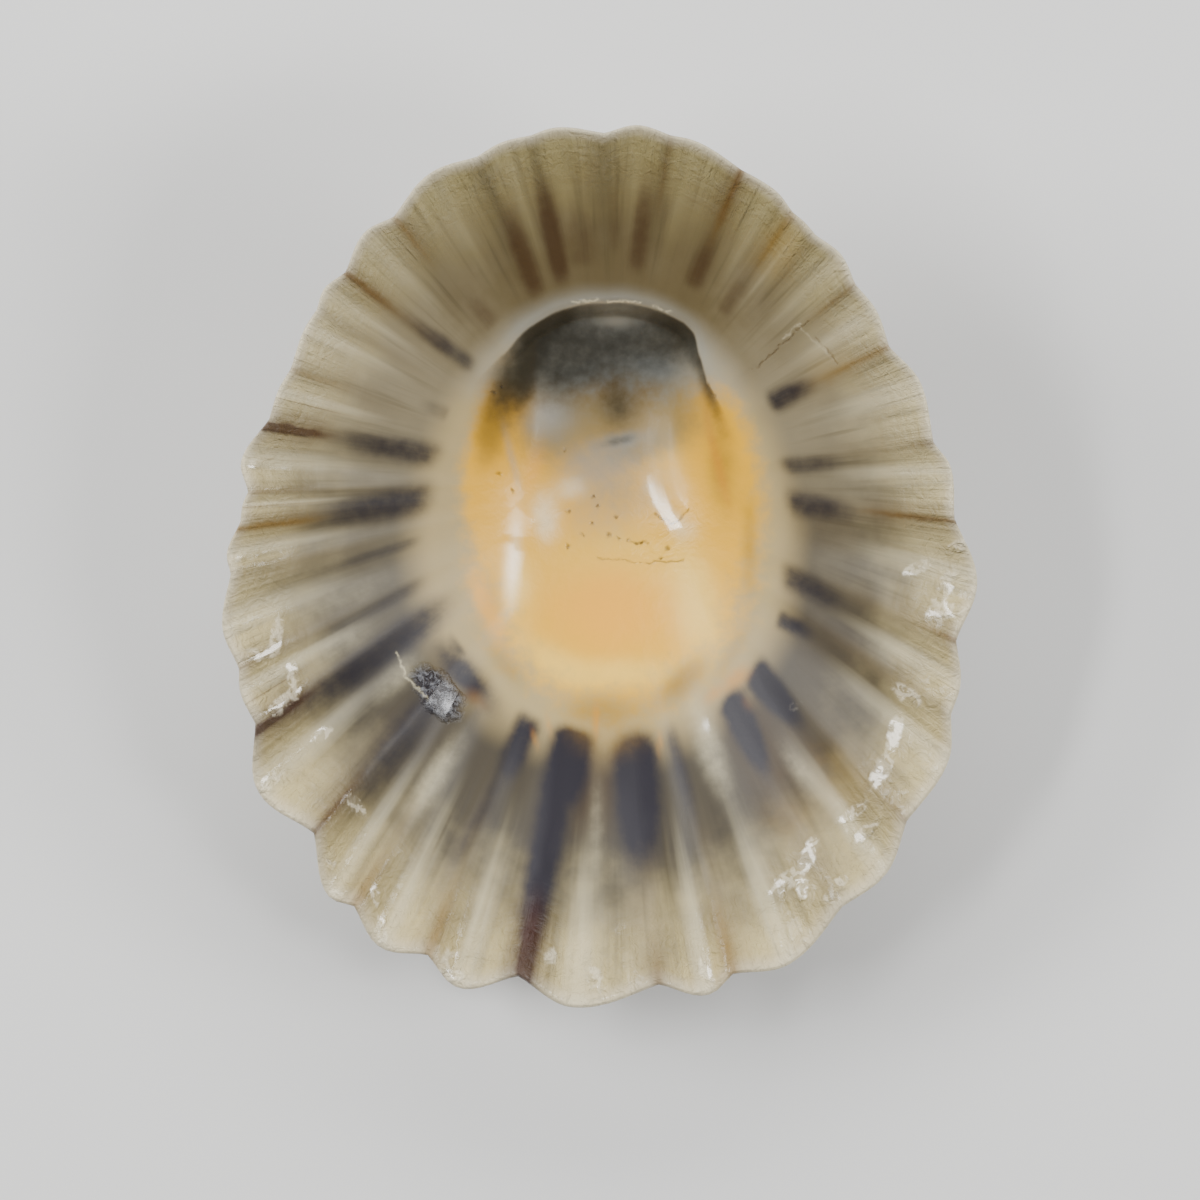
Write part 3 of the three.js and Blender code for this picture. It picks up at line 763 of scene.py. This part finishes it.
outside = Finish("ribbed_outside")
growth = outside.attribute("growth", "Vector")
share = outside.node("ShaderNodeSeparateXYZ", {}, {0: growth}, "Z")
body = outside.node("ShaderNodeTexCoord", {}, {}, "Object")
streaks = outside.noise(outside.vector("MULTIPLY", growth, (40, 40, 5)), 1, 3)
bands = outside.noise(outside.vector("MULTIPLY", growth, (2.4, 2.4, 26)), 1, 4)
mottle = outside.noise(body, MOTTLE_SCALE, 4)
grit = outside.noise(body, GRIT_SCALE, 3)
crest = outside.attribute("crest")

tone = outside.mix(mottle.step(0.35, 0.7), RIB_TAN, RIB_GREY)
fleck_place = outside.vector("MULTIPLY", growth, (16, 16, 34))
flecks = outside.noise(fleck_place, 1, roughness=0.6, distortion=0.8)
tone = outside.mix(bands.step(0.46, 0.62) * 0.75, tone, BAND_DARK)
tone = outside.mix(flecks.step(0.54, 0.64) * share.step(0.3, 0.6) * 0.6, tone, VALLEY_BROWN)
tone = outside.mix(crest.step(0.72, 1) * 0.24, tone, CREST_PALE)
dark_valley = (1 - (crest + (streaks - 0.5) * 0.9)).step(0.4, 0.9) * share.step(0.12, 0.5)
dark_valley = dark_valley * (0.6 + bands.step(0.35, 0.6) * 0.4)
tone = outside.mix(dark_valley * 0.85, tone, VALLEY_BROWN)
worn = (1 - (share + (mottle - 0.5) * 0.25)).step(0.52, 0.85)
tone = outside.mix(worn * 0.85, tone, CHALK)
tone = outside.mix(worn * mottle.step(0.5, 0.75) * 0.6, tone, RUST)
tone = outside.mix(share.step(0.97, 1) * 0.5, tone, RIM_WHITE)

lines_of_growth = outside.noise(outside.vector("MULTIPLY", growth, (5, 5, 110)), 1, 3)
normal = outside.bumps(lines_of_growth, GROWTH_LINE_DEPTH, 0.8)
normal = outside.bumps(streaks, STRIA_DEPTH, 0.6, normal)
normal = outside.bumps(grit * 0.5 + mottle, GRIT_DEPTH, 0.7, normal)
outside.finish_with(Base_Color=tone, Roughness=0.72 + (mottle - 0.5) * 0.2, Normal=normal)


# The setting: a plain pale floor, a soft white room, a broad softbox in front, one low on each
# side for the glints at the margin, a strip higher up on each side for the upright glints on the
# callus, and a slit for the hollow's lip. The camera looks straight down into the bowl.
FLOOR_HALF = 1.5
floor_mesh = bpy.data.meshes.new("floor")
corners = [(-FLOOR_HALF, -FLOOR_HALF, 0), (FLOOR_HALF, -FLOOR_HALF, 0)]
corners += [(FLOOR_HALF, FLOOR_HALF, 0), (-FLOOR_HALF, FLOOR_HALF, 0)]
floor_mesh.from_pydata(corners, [], [(0, 1, 2, 3)])
floor = bpy.data.objects.new("floor", floor_mesh)
bpy.context.scene.collection.objects.link(floor)
pale = bpy.data.materials.new("pale_floor")
pale.use_nodes = True
pale.node_tree.nodes["Principled BSDF"].inputs["Base Color"].default_value = (0.66, 0.66, 0.65, 1)
pale.node_tree.nodes["Principled BSDF"].inputs["Roughness"].default_value = 0.9
floor_mesh.materials.append(pale)
floor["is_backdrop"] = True

world = bpy.data.worlds.new("soft_room")
world.use_nodes = True
world.node_tree.nodes["Background"].inputs["Color"].default_value = (1, 1, 1, 1)
world.node_tree.nodes["Background"].inputs["Strength"].default_value = 0.2
bpy.context.scene.world = world


def softbox(name, azimuth, height, size, watts, distance=0.5):
    """A lamp of a width and height in metres that faces the shell from an azimuth, in degrees
    from the right, and from a height above the horizon, in degrees too."""
    lamp = bpy.data.lights.new(name, "AREA")
    lamp.shape = "RECTANGLE"
    lamp.size, lamp.size_y = size
    lamp.energy = watts
    holder = bpy.data.objects.new(name, lamp)
    turn, rise = math.radians(azimuth), math.radians(height)
    level = distance * math.cos(rise)
    holder.location = (level * math.cos(turn), level * math.sin(turn), distance * math.sin(rise))
    holder.rotation_euler = (math.pi / 2 - rise, 0, turn + math.pi / 2)
    holder.visible_camera = False
    bpy.context.scene.collection.objects.link(holder)


softbox("front_softbox", azimuth=90, height=30, size=(0.5, 0.2), watts=2.3)
softbox("left_softbox", azimuth=163, height=36, size=(0.22, 0.15), watts=2)
softbox("right_softbox", azimuth=358, height=31, size=(0.12, 0.18), watts=1.4)
softbox("left_strip", azimuth=170, height=59, size=(0.22, 0.06), watts=1.2)
softbox("right_strip", azimuth=347, height=51, size=(0.12, 0.15), watts=1.1)
softbox("lip_strip", azimuth=268, height=22, size=(0.16, 0.02), watts=0.12)

FRAME_WIDTH = 0.06  # what the camera takes in, side to side
RIM_HEIGHT = 0.0115  # the rim's mean height, at which that width is measured
CAMERA_HEIGHT = RIM_HEIGHT + 1
CAMERA_RIGHT, CAMERA_FORWARD = 0.025 * MM, -1.55 * MM  # from the middle of the part's box
camera_data = bpy.data.cameras.new("camera")
camera_data.sensor_width = 36
camera_data.lens = camera_data.sensor_width * (CAMERA_HEIGHT - RIM_HEIGHT) / FRAME_WIDTH
camera_data.clip_end = 20
camera = bpy.data.objects.new("camera", camera_data)
camera.location = (CAMERA_RIGHT, CAMERA_FORWARD, CAMERA_HEIGHT)
bpy.context.scene.collection.objects.link(camera)
bpy.context.scene.camera = camera

low, high = (list(corner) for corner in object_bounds())
